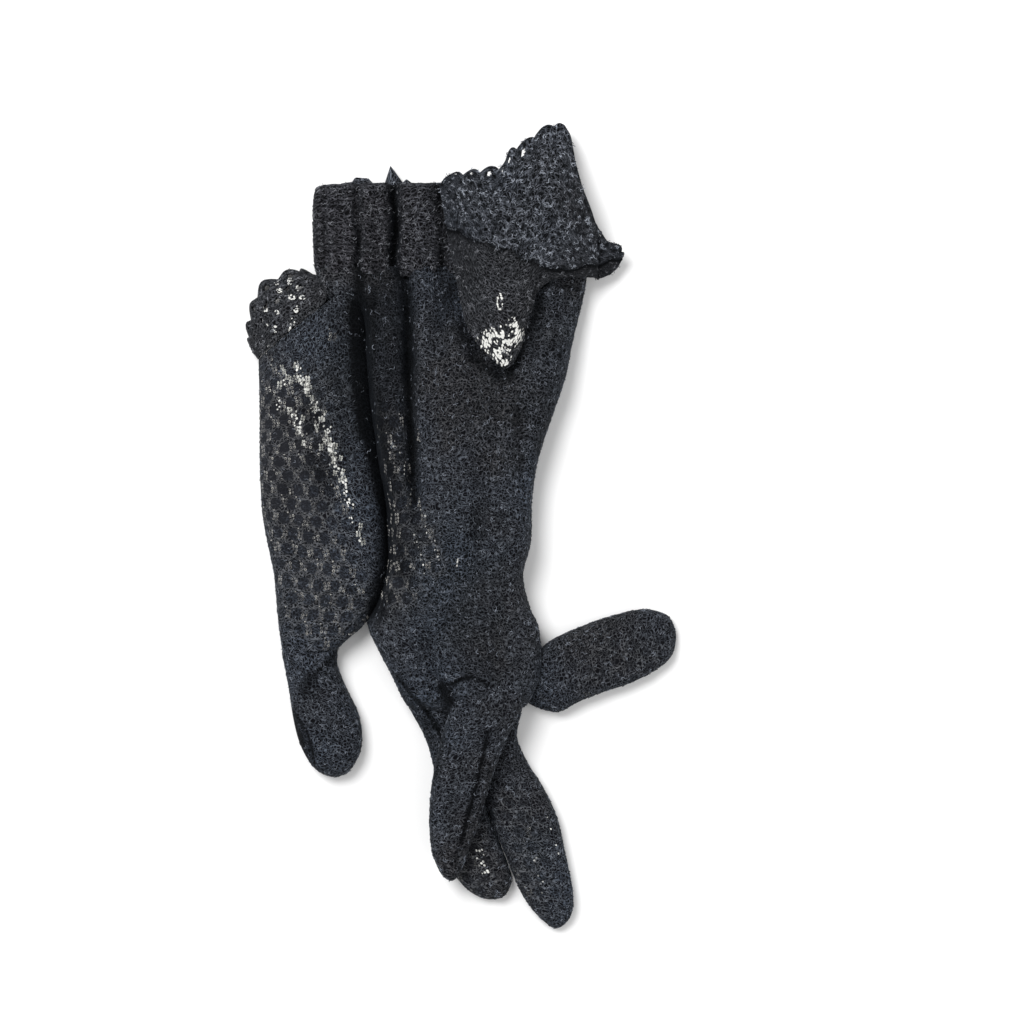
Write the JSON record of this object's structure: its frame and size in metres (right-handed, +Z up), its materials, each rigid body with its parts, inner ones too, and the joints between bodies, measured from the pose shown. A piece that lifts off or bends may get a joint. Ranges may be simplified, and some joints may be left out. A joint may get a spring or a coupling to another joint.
{
  "type": "evening glove",
  "caption": "Soft lace evening glove lying flat, with a gathered wrist band, a turned-out scalloped lace corner, a pleated hand, a thumb and fingers.",
  "frame": {"origin": "the middle of the footprint, on the surface that the glove lies on", "axes": "+Y from the fingers to the wrist, +X across the hand towards the little finger, +Z up from the surface"},
  "size_m": [0.1336, 0.252, 0.022],
  "materials": {
    "fine_lace": "matte",
    "coarse_lace": "matte"
  },
  "bodies": {
    "root": {"hand": "fine_lace", "thumb": "fine_lace", "index_finger": "fine_lace", "middle_finger": "fine_lace", "ring_finger": "fine_lace", "little_finger": "fine_lace", "wrist_band": "coarse_lace", "lace_corner": "coarse_lace", "side_hem": "coarse_lace", "back_hem": "coarse_lace"}
  },
  "joints": []
}
